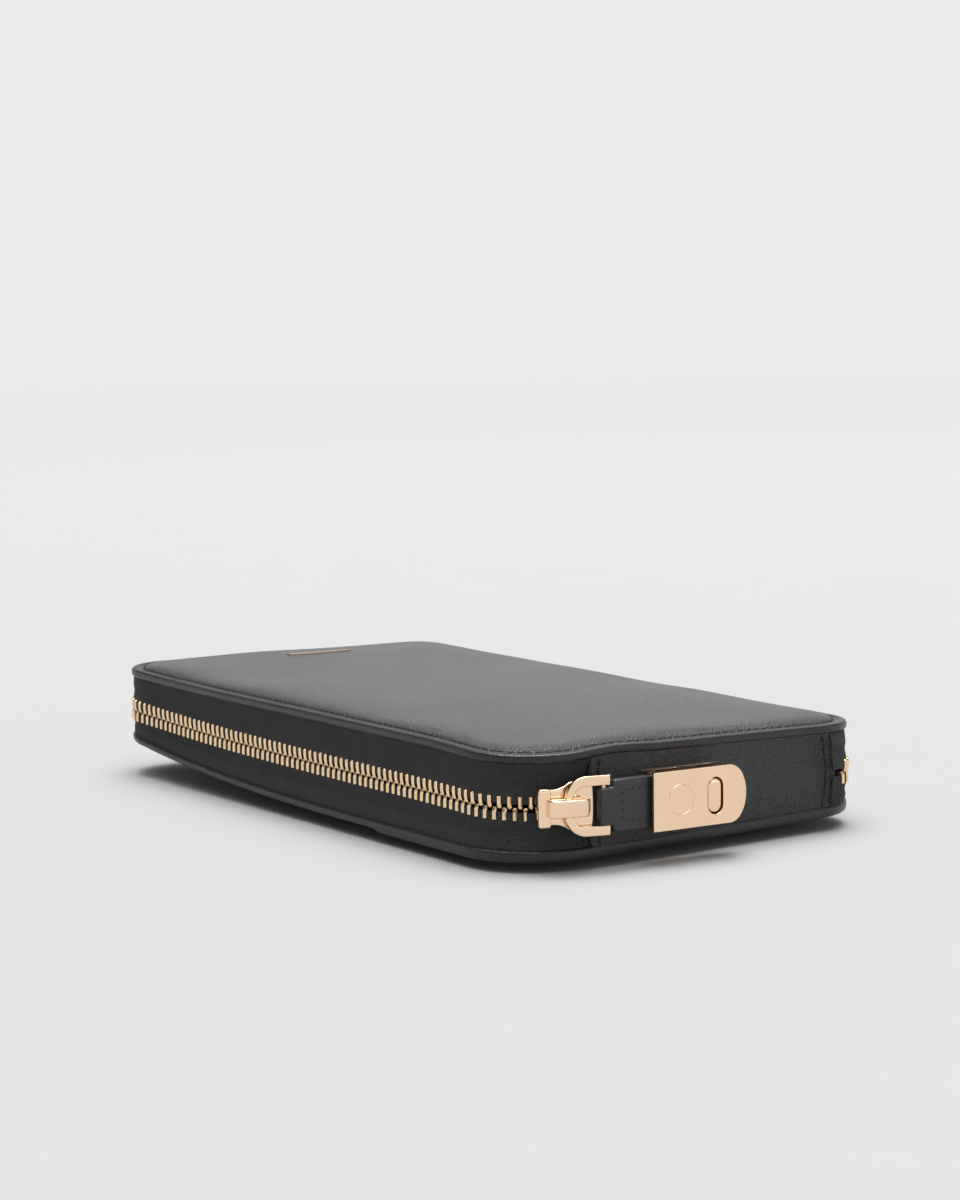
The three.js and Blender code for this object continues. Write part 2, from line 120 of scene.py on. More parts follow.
# %% Helpers for meshes
def grid_faces(rows, cols, wrap_rows=False, wrap_cols=False):
    """Index quads of a grid: (i, j), (i, j+1), (i+1, j+1), (i+1, j), wrapping round where asked."""
    i = np.arange(rows if wrap_rows else rows - 1)[:, None]
    j = np.arange(cols if wrap_cols else cols - 1)[None, :]
    i1, j1 = (i + 1) % rows, (j + 1) % cols
    indices = (i * cols + j, i * cols + j1, i1 * cols + j1, i1 * cols + j)
    quads = np.stack(np.broadcast_arrays(*indices), -1)
    return quads.reshape(-1, 4)


def sheet_faces(rings, cols):
    """Faces of two stacked sheets of rings, joined at their outer rings and closed in their middles."""
    faces = grid_faces(2 * rings, cols, True, True)
    middle = (faces // cols).min(1) == rings - 1
    return faces[~(middle & ((faces // cols).max(1) == rings))]


def mesh_object(name, points, faces, smooth_angle=40.0, uv=None):
    """An object from points in millimetres and a list of faces. uv is each point's place on the cloth."""
    data = bpy.data.meshes.new(name)
    data.from_pydata((np.asarray(points).reshape(-1, 3) * MM).tolist(), [], [list(f) for f in faces])
    if uv is not None:
        layer = data.uv_layers.new(name="cloth")
        corner_points = np.empty(len(data.loops), dtype=np.int32)
        data.loops.foreach_get("vertex_index", corner_points)
        layer.data.foreach_set("uv", np.asarray(uv).reshape(-1, 2)[corner_points].astype(np.float32).ravel())
    piece = bpy.data.objects.new(name, data)
    bpy.context.scene.collection.objects.link(piece)
    tidy(piece, smooth_angle)
    return piece


def tidy(piece, smooth_angle=40.0, merge=1e-6):
    """Merges double points, turns the faces outwards and shades them smooth up to an angle."""
    shape = bmesh.new()
    shape.from_mesh(piece.data)
    bmesh.ops.remove_doubles(shape, verts=shape.verts, dist=merge)
    bmesh.ops.recalc_face_normals(shape, faces=shape.faces)
    shape.to_mesh(piece.data)
    shape.free()
    piece.data.shade_smooth()
    piece.data.set_sharp_from_angle(angle=math.radians(smooth_angle))


def tube(name, rings, closed=True, smooth_angle=40.0, uv=None):
    """A closed band: rings of points (row, point in ring, xyz), joined end to end or capped."""
    rows, cols = rings.shape[:2]
    faces = grid_faces(rows, cols, wrap_rows=closed, wrap_cols=True).tolist()
    if not closed:
        faces += [list(range(cols))[::-1], list(range((rows - 1) * cols, rows * cols))]
    return mesh_object(name, rings, faces, smooth_angle, uv)


def many(name, shape_points, shape_faces, places, smooth_angle=40.0):
    """Copies of a small shape, one at each place (origin, x axis, y axis, z axis), in one mesh."""
    origin, axes = places[:, None, 0], places[:, 1:]
    points = origin + np.einsum("pk,nkc->npc", shape_points, axes)
    count = len(shape_points)
    faces = []
    for face in shape_faces:
        faces += (np.asarray(face)[None, :] + count * np.arange(len(places))[:, None]).tolist()
    return mesh_object(name, points, faces, smooth_angle)


def metal_object(name, points, faces, smooth_angle=50.0):
    """A metal piece: its wide flat faces keep a flat shading, and only their rounded edges blend."""
    piece = mesh_object(name, points, faces, smooth_angle)
    blend = piece.modifiers.new("flat faces", "WEIGHTED_NORMAL")
    blend.keep_sharp, blend.weight = True, 100
    return piece


def flat_shape(name, outline, holes, low, high, bevel, smooth_angle=30.0):
    """A plate with rounded edges: an outline with holes, filled and given a thickness from low to high."""
    curve = bpy.data.curves.new(name, "CURVE")
    curve.dimensions = "2D"
    curve.fill_mode = "BOTH"
    for points in [outline, *holes]:
        spline = curve.splines.new("POLY")
        spline.points.add(len(points) - 1)
        flat = np.concatenate([points, np.zeros((len(points), 1)), np.ones((len(points), 1))], 1)
        spline.points.foreach_set("co", flat.ravel())
        spline.use_cyclic_u = True
    curve.offset, curve.bevel_depth, curve.bevel_resolution = -bevel, bevel, 2
    curve.extrude = (high - low) / 2 - bevel
    drawn = bpy.data.objects.new(name, curve)
    bpy.context.scene.collection.objects.link(drawn)
    bpy.context.view_layer.update()
    data = bpy.data.meshes.new_from_object(drawn)
    bpy.data.objects.remove(drawn)
    bpy.data.curves.remove(curve)
    points = np.empty(len(data.vertices) * 3)
    data.vertices.foreach_get("co", points)
    points = points.reshape(-1, 3)
    points[:, 2] += (low + high) / 2
    faces = [list(face.vertices) for face in data.polygons]
    bpy.data.meshes.remove(data)
    return points, faces


def joined(parts):
    """Several (points, faces) shapes as one."""
    points, faces, count = [], [], 0
    for more_points, more_faces in parts:
        points.append(more_points)
        faces += [[index + count for index in face] for face in more_faces]
        count += len(more_points)
    return np.concatenate(points), faces


def arc(x, y, radius, start, end, count=12):
    """Points on part of a circle, with its angles in degrees."""
    angle = np.radians(np.linspace(start, end, count))
    return np.stack([x + radius * np.cos(angle), y + radius * np.sin(angle)], -1)


def corners(*points):
    """Points of an outline, written one by one."""
    return np.array(points, dtype=float)


def placed(points, origin, heading, flip=False):
    """Points turned about the vertical by a heading in degrees, then moved to an origin.

    A flipped shape first makes a half turn about its own X axis."""
    if flip:
        points = points * [1, -1, -1]
    c, s = math.cos(math.radians(heading)), math.sin(math.radians(heading))
    turned = np.stack([points[..., 0] * c - points[..., 1] * s, points[..., 0] * s + points[..., 1] * c,
                       points[..., 2]], -1)
    return turned + origin


def stood_up(points):
    """A plate drawn on X and Y, stood on its edge: its Y becomes the height, its thickness runs along Y."""
    return points[..., [0, 2, 1]]


print("helpers ready")

# %% [markdown]
# ## Finishes
# A finish is a small tree of shader nodes. Writing it as ordinary sums keeps it readable: a Value wraps one
# socket, and adding or multiplying two of them adds the Math node that does it.

# %% Shader sums
class Value:
    """One number socket in a finish. Sums of Values make Math nodes."""

    def __init__(self, finish, socket):
        self.finish, self.socket = finish, socket

    def math(self, operation, *others):
        made = self.finish.node("ShaderNodeMath", {"operation": operation}, self, *others)
        return Value(self.finish, made.outputs[0])

    def __add__(self, other):
        return self.math("ADD", other)

    def __mul__(self, other):
        return self.math("MULTIPLY", other)

    def __sub__(self, other):
        return self.math("SUBTRACT", other)

    def __truediv__(self, other):
        return self.math("DIVIDE", other)

    def __rsub__(self, other):
        return (self * -1.0) + other

    __radd__, __rmul__ = __add__, __mul__


class Finish:
    """A material with one Principled surface, and one method that adds any other node."""

    def __init__(self, name, **surface):
        self.material = bpy.data.materials.new(name)
        self.material.use_nodes = True
        self.nodes, self.links = self.material.node_tree.nodes, self.material.node_tree.links
        self.surface = self.nodes["Principled BSDF"]
        for socket, value in surface.items():
            self.surface.inputs[socket.replace("_", " ")].default_value = value

    def node(self, kind, settings, *values, **named):
        """Any node: its settings come first, then its sockets by place or by name."""
        made = self.nodes.new(kind)
        for setting, value in settings.items():
            if setting == "stops":
                ramp = made.color_ramp.elements
                for element, (place, colour) in zip([ramp[0], ramp[1]], value):
                    element.position, element.color = place, (*colour, 1)
            else:
                setattr(made, setting, value)
        for place, value in [*enumerate(values), *named.items()]:
            socket = made.inputs[place if isinstance(place, int) else place.replace("_", " ")]
            self.feed(socket, value)
        return made

    def feed(self, socket, value):
        """Links a Value or a socket, or sets a plain number."""
        if isinstance(value, Value):
            self.links.new(value.socket, socket)
        elif isinstance(value, bpy.types.NodeSocket):
            self.links.new(value, socket)
        else:
            socket.default_value = value

    def coordinates(self, output="Object"):
        return self.node("ShaderNodeTexCoord", {}).outputs[output]

    def noise(self, scale, detail=3.0, rough=0.5):
        made = self.node("ShaderNodeTexNoise", {}, Vector=self.coordinates(), Scale=scale, Detail=detail,
                         Roughness=rough)
        return Value(self, made.outputs["Fac"])

    def cells(self, scale):
        made = self.node("ShaderNodeTexVoronoi", {"feature": "F1"}, Vector=self.coordinates(), Scale=scale)
        return Value(self, made.outputs["Distance"])

    def between(self, value, low, high):
        """The Value moved from 0..1 to low..high."""
        return value * (high - low) + low

    def colour(self, value, dark, light):
        """Dark where the Value is under 0.3, light where it is over 0.7, and a blend between."""
        made = self.node("ShaderNodeValToRGB", {"stops": [(0.3, dark), (0.7, light)]}, value)
        self.feed(self.surface.inputs["Base Color"], made.outputs["Color"])

    def bump(self, height, depth):
        """Relief: depth is the distance in metres that a height of 1 stands for."""
        made = self.node("ShaderNodeBump", {}, Strength=1.0, Distance=depth, Height=height)
        self.feed(self.surface.inputs["Normal"], made.outputs["Normal"])

    def roughness(self, value):
        self.feed(self.surface.inputs["Roughness"], value)


print("shader sums ready")

# %% [markdown]
# Smooth calf leather has very fine pores and a soft sheen. Cells a third of a millimetre wide give the
# pores, a finer noise the sheen's grain, and a slow noise the faint clouding of the dye.

# %% Leather finishes
def leather_finish(name, dark, light, rough, grain):
    finish = Finish(name, Roughness=rough, IOR=1.5)
    pores = finish.cells(2600.0)
    creases = finish.noise(900.0, 4.0, 0.6)
    cloud = finish.noise(26.0, 3.0, 0.5)
    finish.colour(cloud * 0.6 + creases * 0.4, dark, light)
    finish.roughness(finish.between(creases * 0.5 + cloud * 0.5, rough - 0.07, rough + 0.07))
    finish.bump(pores * 0.7 + creases * 0.8 + cloud * 0.6, grain)
    return finish.material


cover_leather = leather_finish("smooth black leather", (0.014, 0.0133, 0.014), (0.028, 0.0272, 0.028), 0.29,
                               0.0003)
# The rolled edge is the cover's leather at half its brightness: the darker base colour is painted shade for
# the rim's side face.
shaded_rim_leather = leather_finish("rolled edge leather with painted shade", (0.007, 0.007, 0.0073), (0.014, 0.014, 0.0145), 0.3,
                             0.00012)
strap_leather = leather_finish("strap leather", (0.016, 0.015, 0.017), (0.030, 0.029, 0.032), 0.4, 0.00006)
print("leathers:", cover_leather.name, shaded_rim_leather.name, strap_leather.name)

# %% [markdown]
# The zip tape is a herringbone twill: fine ribs lean one way in one row and the other way in the next.
# The piece's own UV map measures the cloth in millimetres, so the ribs follow the tape round its corners.

# %% Woven finishes
def woven_finish(name, dark, light, rough, rib, row, depth, from_uv):
    finish = Finish(name, Roughness=rough, IOR=1.4)
    place = finish.coordinates("UV" if from_uv else "Object")
    split = finish.node("ShaderNodeSeparateXYZ", {}, place)
    scale = 1.0 if from_uv else 1000.0
    along, across = (Value(finish, split.outputs[i]) * scale for i in (0, 1))
    lean = (across / row).math("PINGPONG", 1.0)
    ribs = ((along / rib + lean * (row / rib)) * (2 * math.pi)).math("SINE") * 0.5 + 0.5
    yarn = ((along * 1.0 - lean * row) / (rib * 0.5) * (2 * math.pi)).math("SINE") * 0.5 + 0.5
    weave = ribs * 0.75 + yarn * 0.25
    fuzz = finish.noise(1800.0, 3.0, 0.7)
    finish.colour(weave * 0.6 + fuzz * 0.4, dark, light)
    finish.roughness(finish.between(fuzz, rough - 0.08, rough + 0.08))
    finish.bump(weave + fuzz * 0.5, depth)
    return finish.material


tape_cloth = woven_finish("herringbone zip tape", (0.022, 0.022, 0.023), (0.085, 0.085, 0.088), 0.72,
                          0.62, 1.7, 0.0005, True)
lining_cloth = woven_finish("lining twill", (0.012, 0.012, 0.014), (0.03, 0.03, 0.034), 0.7,
                            0.5, 90.0, 0.00006, False)
print("cloths:", tape_cloth.name, lining_cloth.name)

# %% [markdown]
# The metal is polished brass with a pale rose-gold plating. Real plating is never a perfect mirror: very
# fine polishing marks spread the reflection, and a slow unevenness keeps large faces from looking drawn.

# %% Metal, thread and core finishes
def gold_finish(name, colour, rough):
    finish = Finish(name, Metallic=1.0, Roughness=rough)
    fine = finish.noise(1400.0, 2.0, 0.6)
    slow = finish.noise(90.0, 2.0, 0.5)
    finish.colour(slow, tuple(c * 0.94 for c in colour), colour)
    finish.roughness(finish.between(fine * 0.5 + slow * 0.5, rough - 0.03, rough + 0.04))
    finish.bump(slow, 0.000003)
    return finish.material


def plain_core(name, dark, light, rough, scale):
    finish = Finish(name, Roughness=rough)
    speckle = finish.noise(scale, 4.0, 0.7)
    finish.colour(speckle, dark, light)
    finish.bump(speckle, 0.0001)
    return finish.material


ROSE_GOLD = (1.0, 0.735, 0.51)
hardware_gold = gold_finish("polished rose gold", ROSE_GOLD, 0.12)
tooth_gold = gold_finish("tooth gold", (0.95, 0.69, 0.42), 0.22)
dim_gold = gold_finish("brushed dim gold", (0.36, 0.27, 0.2), 0.38)
black_thread = plain_core("waxed black thread", (0.003, 0.003, 0.003), (0.009, 0.009, 0.009), 0.55, 3000.0)
fibre_board = plain_core("fibre board", (0.16, 0.12, 0.08), (0.3, 0.25, 0.18), 0.9, 900.0)
soft_foam = plain_core("padding foam", (0.5, 0.47, 0.4), (0.7, 0.68, 0.6), 0.95, 1500.0)
nylon_coil = plain_core("nylon coil", (0.01, 0.01, 0.011), (0.03, 0.03, 0.03), 0.4, 2500.0)
print("metals and cores ready")

# %% Hand a finished piece to the frame
made = []


def hand_over(piece, body, slot, material, *stands_for):
    """The piece rides on its body, wears its finish, and takes the place of the plain solids it replaces."""
    piece.data.materials.clear()
    piece.data.materials.append(material)
    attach(piece, body)
    if stands_for:
        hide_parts(*stands_for)
    made.append(piece.name)
    print(piece.name, "has", len(piece.data.polygons), "faces")
    return piece

# %% [markdown]
# ## The soft lie of the wallet
# A filled wallet is never flat: its halves sag a little between the corners. One smooth function of the
# place seen from above says how far each half's edge is moved up or down, and every soft piece is passed
# through it, so that neighbours stay together.

# %% The lie of the two halves
def smooth(value, low, high):
    """0 below low, 1 above high, and a smooth S between them."""
    t = np.clip((value - low) / (high - low), 0, 1)
    return t * t * (3 - 2 * t)


def lie(points):
    """Moves soft points to where they lie. The wallet is fullest beside the slider and thins out elsewhere.

    The lower half curls up away from the spine, and the upper half sinks towards the far long side and dips
    at the slider's corner. A point's height between the two rims mixes the two moves."""
    x, y, z = points[..., 0], points[..., 1], points[..., 2]
    far = np.clip((y + SIDE_Y) / WIDTH, 0, 1)
    curl = np.clip((-28.0 - x) / 64.5, 0, 1.05) ** 2
    dip = np.exp(-((x - 84) ** 2 + (y + 47) ** 2) / 260.0)
    swell = np.exp(-((x - 92) ** 2 + (y + 24) ** 2) / 60.0)
    lower = 6.8 * np.clip((40 - x) / 130, 0, 1.05) ** 2.6 + 1.4 * far ** 1.5
    upper = curl * (1.2 - 0.6 * far) - 2.4 * far**1.2 * (0.9 + x / 925) - 0.8 * dip + 0.5 * swell
    mix = np.sqrt(smooth(z, 4.0, 26.0))
    return np.stack([x, y, z + lower * (1 - mix) + upper * mix], -1)


print("the far end curls up by", lie(np.array([-SPINE_X, -SIDE_Y, 3.0]))[2] - 3.0, "mm")

# %% [markdown]
# ## Rims
# Each cover ends in a rolled leather edge, thicker than the cover. A rounded section is carried along the
# outline. The back rim is thicker beside the spine, where the outside card pocket's leather is rolled in.

# %% The rims
RIM_OUT, RIM_UP = 1.2, 1.05  # half sizes of the rim's section
RIM_IN = 1.45  # from the outline to the section's middle


def rim_section(count=28, power=3.0):
    """A squarish oval: |out / RIM_OUT|^p + |up / RIM_UP|^p = 1, as (out, up)."""
    angle = np.linspace(0, 2 * math.pi, count, endpoint=False)
    c, s = np.cos(angle), np.sin(angle)
    out = np.sign(c) * np.abs(c) ** (2 / power) * RIM_OUT
    up = np.sign(s) * np.abs(s) ** (2 / power) * RIM_UP
    return np.stack([out, up], -1)


def rim(name, height, body, node, thicker=0.0):
    """The section carried along the outline at a height. thicker deepens its lower half beside the spine."""
    along = steps(0, WHOLE)[:-1]
    section = rim_section()
    centre, out = around(along, RIM_IN)
    offset = section[None, :, :1] * out[:, None, :]
    up = np.broadcast_to(section[None, :, 1], (len(along), len(section))).copy()
    extra = thicker * smooth(centre[:, 0], 36.0, 37.2)[:, None]
    up = np.where(up < 0, up * (1 + extra / RIM_UP), up)
    points = np.concatenate([centre[:, None, :] + offset, (height + up)[..., None]], -1)
    return hand_over(tube(name, lie(points)), body, "black_leather", shaded_rim_leather, node)


front_rim = rim("front_rim", 26.4, "front_half", "front_edge_binding")
back_rim = rim("back_rim", 4.0, "back_half", "back_edge_binding", thicker=0.8)

# %% [markdown]
# ## Padded covers
# A cover is leather drawn over foam and sewn down just inside the rim. The stitching pulls a groove, and
# inside it the leather swells to a low, broad crown with slow waves in it. It is worked out on rings that
# shrink from the rim to the middle.

# %% The covers
STITCH_IN = 3.6  # from the outline to the stitch line
FRONT_TOP, BACK_TOP = 27.35, 2.75  # heights of the two covers' outer faces at their edges
CROWN = 1.7  # scale of the covers' swell
RING_INSETS = np.concatenate([[2.2, 2.35, 2.6, 2.85, 3.05, 3.25, 3.42, 3.6, 3.78, 3.95, 4.15, 4.5, 5.0, 5.6],
                              [6.4, 7.4, 8.6, 10.2], np.linspace(12, 50.5, 21), [SIDE_Y]])


def crown(inset, x, y, swell):
    """Height over the rim's top: a groove at the stitches, a quick rise, a broad crown and slow waves."""
    groove = -0.3 * np.exp(-(((inset - STITCH_IN) / 0.36) ** 2))
    groove = groove - 0.3 * np.exp(-(((inset - 2.4) / 0.25) ** 2))
    past = np.maximum(inset - STITCH_IN, 0)
    rise = 0.9 * swell * (1 - np.exp(-past / 2.4))
    broad = 0.8 * swell * (1 - np.abs(x / SPINE_X) ** 2.4) * (1 - np.abs(y / SIDE_Y) ** 2.2)
    waves = (np.sin(x / 13.0 + 1.2 * np.sin(y / 17.0)) * np.cos(y / 15.0 + x / 31.0)
             + 0.6 * np.sin(x / 6.5 - y / 9.0 + 1.0) * np.exp(-past / 14.0))
    return groove + rise + broad + 0.24 * swell * waves * (1 - np.exp(-past / 7.0))


def cover(name, top, bottom, swell, side, body, nodes):
    """Two stacked sheets of rings: the outer one has the crown, the inner one is flat at the height bottom.

    side is 1 for the front cover and -1 for the back cover, which bulges downwards as far as the ground."""
    along = steps(0, WHOLE)[:-1]
    inset = RING_INSETS[:, None]
    place, _ = around(along[None, :], inset)
    # The last ring lies on the middle line, where both sides meet at the same points.
    place[-1, :, 0] = np.round(place[-1, :, 0] / 3) * 3
    x, y = place[..., 0], place[..., 1]
    height = top + side * crown(np.broadcast_to(inset, x.shape), x, y, swell)
    if side < 0:
        height = np.maximum(height, 0.0)
    outer = np.concatenate([place, height[..., None]], -1)
    inner = outer[::-1].copy()
    inner[..., 2] = bottom
    points = np.concatenate([outer, inner], 0)
    piece = mesh_object(name, lie(points), sheet_faces(len(outer), len(along)), 60.0)
    return hand_over(piece, body, "black_leather", cover_leather, *nodes)


front_cover = cover("front_cover_leather", FRONT_TOP, 25.25, CROWN, 1, "front_half", ["front_cover"])
back_cover = cover("back_cover_leather", BACK_TOP, 4.75, CROWN, -1, "back_half", ["back_cover"])

# %% [markdown]
# A slim plain bar marks the front cover near its far end. It follows the leather's crown.

# %% The bar on the front cover
def front_bar():
    """A bar 2 mm wide along the short side, standing 0.3 mm out of the crown."""
    y = np.linspace(-8.5, 11.5, 40)
    taper = np.minimum(1.0, np.minimum(y + 8.5, 11.5 - y) / 0.8 + 0.25)[:, None]
    section = np.array([[-0.9, -0.4], [-0.9, 0.16], [-0.75, 0.3], [0.75, 0.3], [0.9, 0.16], [0.9, -0.4]])
    x = -73.8 + section[None, :, 0] * taper
    inset = SPINE_X - np.abs(x)
    height = FRONT_TOP + crown(inset, x, y[:, None] + 0 * x, CROWN) + section[None, :, 1]
    points = lie(np.stack([x, y[:, None] + 0 * x, height], -1))
    piece = tube("front_bar", points, closed=False, smooth_angle=30)
    return hand_over(piece, "front_half", "pale_rose_gold", dim_gold, "front_badge")


front_bar()

# %% [markdown]
# ## Stitches
# A stitch is a short piece of waxed thread that dips into the leather at both ends. One little spindle is
# copied along each stitch line.

# %% Stitches
STITCH_PITCH = 2.35


def stitch_shape(length, radius=0.26):
    """A spindle along X of five rings: its radius grows and shrinks as the square root of a sine."""
    u = np.linspace(0.04, 0.96, 5)
    r = radius * np.sqrt(np.sin(math.pi * u))
    angle = np.linspace(0, 2 * math.pi, 6, endpoint=False)
    x = np.broadcast_to(((u - 0.5) * length)[:, None], (5, 6))
    dip = -0.12 * (2 * u - 1) ** 2
    points = np.stack([x, r[:, None] * np.cos(angle), r[:, None] * np.sin(angle) + dip[:, None]], -1)
    faces = grid_faces(5, 6, False, True).tolist() + [list(range(6))[::-1], list(range(24, 30))]
    return points.reshape(-1, 3), faces


def stitch_places(points, along, up):
    """Frames for stitches: origin, then the axes along the seam, across it and out of the leather."""
    across = np.cross(up, along)
    return np.stack([points, along, across, up], 1)


def cover_stitches(name, cover_top, side, body):
    """Stitches all round a cover, STITCH_PITCH apart, lying in the groove."""
    seam = np.arange(0.5, WHOLE, STITCH_PITCH)
    place, out = around(seam, STITCH_IN)
    tangent = np.stack([out[:, 1], -out[:, 0], 0 * seam], -1)
    height = cover_top + side * (crown(np.full(len(seam), STITCH_IN), place[:, 0], place[:, 1], CROWN) + 0.3)
    points = np.concatenate([place, height[:, None]], -1)
    up = np.broadcast_to([0.0, 0.0, float(side)], points.shape)
    shape, faces = stitch_shape(1.75)
    piece = many(name, shape, faces, stitch_places(lie(points), tangent, up))
    return hand_over(piece, body, "black_leather", black_thread)


cover_stitches("front_cover_stitches", FRONT_TOP, 1, "front_half")
cover_stitches("back_cover_stitches", BACK_TOP, -1, "back_half")

# %% [markdown]
# ## Layers inside each half
# Under the leather come foam, a board, a lining and four card slots. Each is a sheet that takes the same lie
# as the covers, so that nothing inside comes through where the wallet curls.

# %% The inner layers
def layer(name, inset, low, high, body, slot, material, node):
    """A sheet with the wallet's outline, from its own edge to the middle line."""
    along = steps(0, WHOLE, 6.0, 3.0)[:-1]
    rings = np.concatenate([np.linspace(inset, 50, 8), [SIDE_Y]])[:, None]
    place, _ = around(along[None, :], rings)
    place[-1, :, 0] = np.round(place[-1, :, 0] / 9) * 9
    place = np.concatenate([place, place[::-1]])
    z = np.repeat([low, high], len(rings))[:, None, None] + 0 * place[..., :1]
    points = lie(np.concatenate([place, z], -1))
    piece = mesh_object(name, points, sheet_faces(len(rings), len(along)), 30)
    return hand_over(piece, body, slot, material, node)


def card_slot(name, far, low, high, side, body, node):
    """A card slot's sheet from the zip's long side to its mouth at y = far, with rounded corners."""
    x = np.concatenate([[-74.0, -73.7, -73.0, -72.0], np.linspace(-69, 72, 26), [75.5, 76.5, 77.2, 77.5]])
    edge = np.minimum(np.minimum(x + 74.0, 77.5 - x), 2.0)
    shrink = 2.0 - np.sqrt(np.maximum(4.0 - (2.0 - edge) ** 2, 0.0))
    across = np.linspace(0, 1, 9)
    y = (-40 + shrink)[:, None] + across * (far + 40 - 2 * shrink)[:, None]
    y = np.concatenate([y, y[:, ::-1]], 1) * side
    z = np.repeat([low, high], 9) + 0 * y
    points = lie(np.stack([x[:, None] + 0 * y, y, z], -1))
    piece = tube(name, points, closed=False, smooth_angle=30)
    return hand_over(piece, body, "lining_cloth", lining_cloth, node)


def inner_layers(half, body, top, base, side):
    """top is the height of the cover's inner face; side turns everything over for the front half."""
    def span(low, high):
        return (top + side * low, top + side * high)

    layer(half + "_foam", 8.3, *span(base, -1.9), body, "foam_padding", soft_foam, half + "_padding")
    layer(half + "_stiffener", 8.3, *span(-1.6, -0.6), body, "backing_board", fibre_board, half + "_board")
    layer(half + "_lining_cloth", 6.0, *span(0.3, 0.9), body, "lining_cloth", lining_cloth, half + "_lining")
    for i in range(4):
        low = 1.2 + 0.7 * i
        mouth = 40 - 12 * i
        node = f"{half}_card_slot_{i + 1}"
        card_slot(f"{half}_slot_{i + 1}", mouth, *span(low, low + 0.4), side, body, node)


inner_layers("back", "back_half", 5.1, -3.5, 1)
inner_layers("front", "front_half", 24.9, -2.5, -1)

# %% [markdown]
# ## Zip tapes
# Each tape is sewn under a rim and carries one row of teeth on its free edge. Between them the cloth falls
# in slightly, and it puckers where it goes round the corners.

# %% The tapes
PANEL_TURN = 0.19
TAPE_START = -8.0
TAPE_END = STARTS[7] - (CORNER[3] - ZIP_IN) * 0.09


def zip_inset(along):
    """How far inside the outline the zip's line runs. It bulges out at its far
    end, beside the spine, and round the corner before the short side."""
    far_end = 2.4 * np.exp(-(((along - STARTS[7] + 3.5) / 7.0) ** 2))
    return ZIP_IN - far_end - 1.1 * np.exp(-(((along - STARTS[2] - 10) / 13.0) ** 2))


def tape(name, side, body, node):
    """A thin closed band: at height h from the zip's middle its face lies at an offset that falls in."""
    along = steps(TAPE_START, TAPE_END, 1.6, 0.9)
    h = np.array([1.0, 1.6, 2.6, 3.4, 4.4, 5.4, 6.4, 7.4, 8.4, 9.5, 10.9])
    fall = -0.55 * np.sin(math.pi * np.clip((h - 2.8) / 7.6, 0, 1)) ** 1.3
    pucker = 0.10 * np.sin(along * 0.9 + np.sin(along * 0.23) * 2)[:, None] * np.sin(math.pi * (h - 1) / 9.2)
    outer = 0.75 + 0.35 * smooth(h, 5.0, 9.0)[None, :] + fall[None, :] + pucker
    offsets = np.concatenate([outer, outer[:, ::-1] - 0.55], 1)
    heights = np.concatenate([h, h[::-1]])
    near_teeth = np.clip((11.5 - heights) / 4.0, 0, 1)[None, :, None]
    line, out = around(along, ZIP_IN)
    bulged, _ = around(along, zip_inset(along))
    place = line[:, None, :] + (bulged - line)[:, None, :] * near_teeth
    points = place + offsets[..., None] * out[:, None, :]
    z = np.broadcast_to(MIDDLE + side * heights, offsets.shape)
    uv = np.stack(np.broadcast_arrays(along[:, None], (side * heights)[None, :]), -1)
    piece = tube(name, lie(np.concatenate([points, z[..., None]], -1)), closed=False, uv=uv)
    return hand_over(piece, body, "zip_tape_cloth", tape_cloth, node)


tape("lower_zip_tape", -1, "back_half", "lower_tape")
tape("upper_zip_tape", 1, "front_half", "upper_tape")

# %% [markdown]
# ## Teeth
# A metal tooth is a stamped bar clamped on the tape's corded edge. Its head is a little wider than its legs
# and leans slightly to one side, and the heads of the two rows mesh along the middle. One tooth of a few
# dozen faces is copied at the zip's pitch, the upper row half a pitch from the lower one.

# %% The teeth
TOOTH_PITCH = 2.35


def tooth_shape():
    """Sections (lean, half width, half depth) at heights from the root to the head, each an octagon."""
    height = np.array([2.8, 2.65, 1.3, 0.8, 0.25, -0.12])
    lean = np.array([0.0, 0.0, 0.0, -0.03, -0.07, -0.08])
    wide = np.array([0.36, 0.48, 0.46, 0.52, 0.58, 0.36])
    deep = np.array([0.95, 1.15, 1.15, 1.1, 0.95, 0.7])
    a = np.array([1, 1, 0.55, -0.55, -1, -1, -0.55, 0.55])
    o = np.array([-0.75, 0.75, 1, 1, 0.75, -0.75, -1, -1])
    points = np.stack([lean[:, None] + wide[:, None] * a, deep[:, None] * o,
                       np.broadcast_to(height[:, None], (6, 8))], -1)
    faces = grid_faces(6, 8, False, True).tolist() + [list(range(8))[::-1], list(range(40, 48))]
    return points.reshape(-1, 3), faces


def teeth(name, side, body, node, start, end):
    """A row of teeth from start to end along the zip, pointing down from above (1) or up from below (-1)."""
    shift = 0.0 if side > 0 else 0.5
    along = np.arange(start + shift * TOOTH_PITCH, end, TOOTH_PITCH)
    place, out = around(along, zip_inset(along))
    zero = 0 * along
    points = lie(np.stack([place[:, 0], place[:, 1], zero + MIDDLE], -1))
    tangent = np.stack([out[:, 1], -out[:, 0], zero], -1)
    outward = np.stack([out[:, 0], out[:, 1], zero], -1)
    up = np.stack([zero, zero, zero + side], -1)
    shape, faces = tooth_shape()
    piece = many(name, shape, faces, np.stack([points, tangent, outward, up], 1), 35.0)
    return hand_over(piece, body, "pale_rose_gold", tooth_gold, node)


SLIDER_TURN = 16.0
TEETH_START = (CORNER[0] - ZIP_IN) * math.radians(SLIDER_TURN + 20.3) + 0.7
TEETH_END = STARTS[7] - (CORNER[3] - ZIP_IN) * (PANEL_TURN + 0.05)
teeth("lower_zip_teeth", -1, "back_half", "lower_teeth", TEETH_START, TEETH_END)
teeth("upper_zip_teeth", 1, "front_half", "upper_teeth", TEETH_START, TEETH_END)

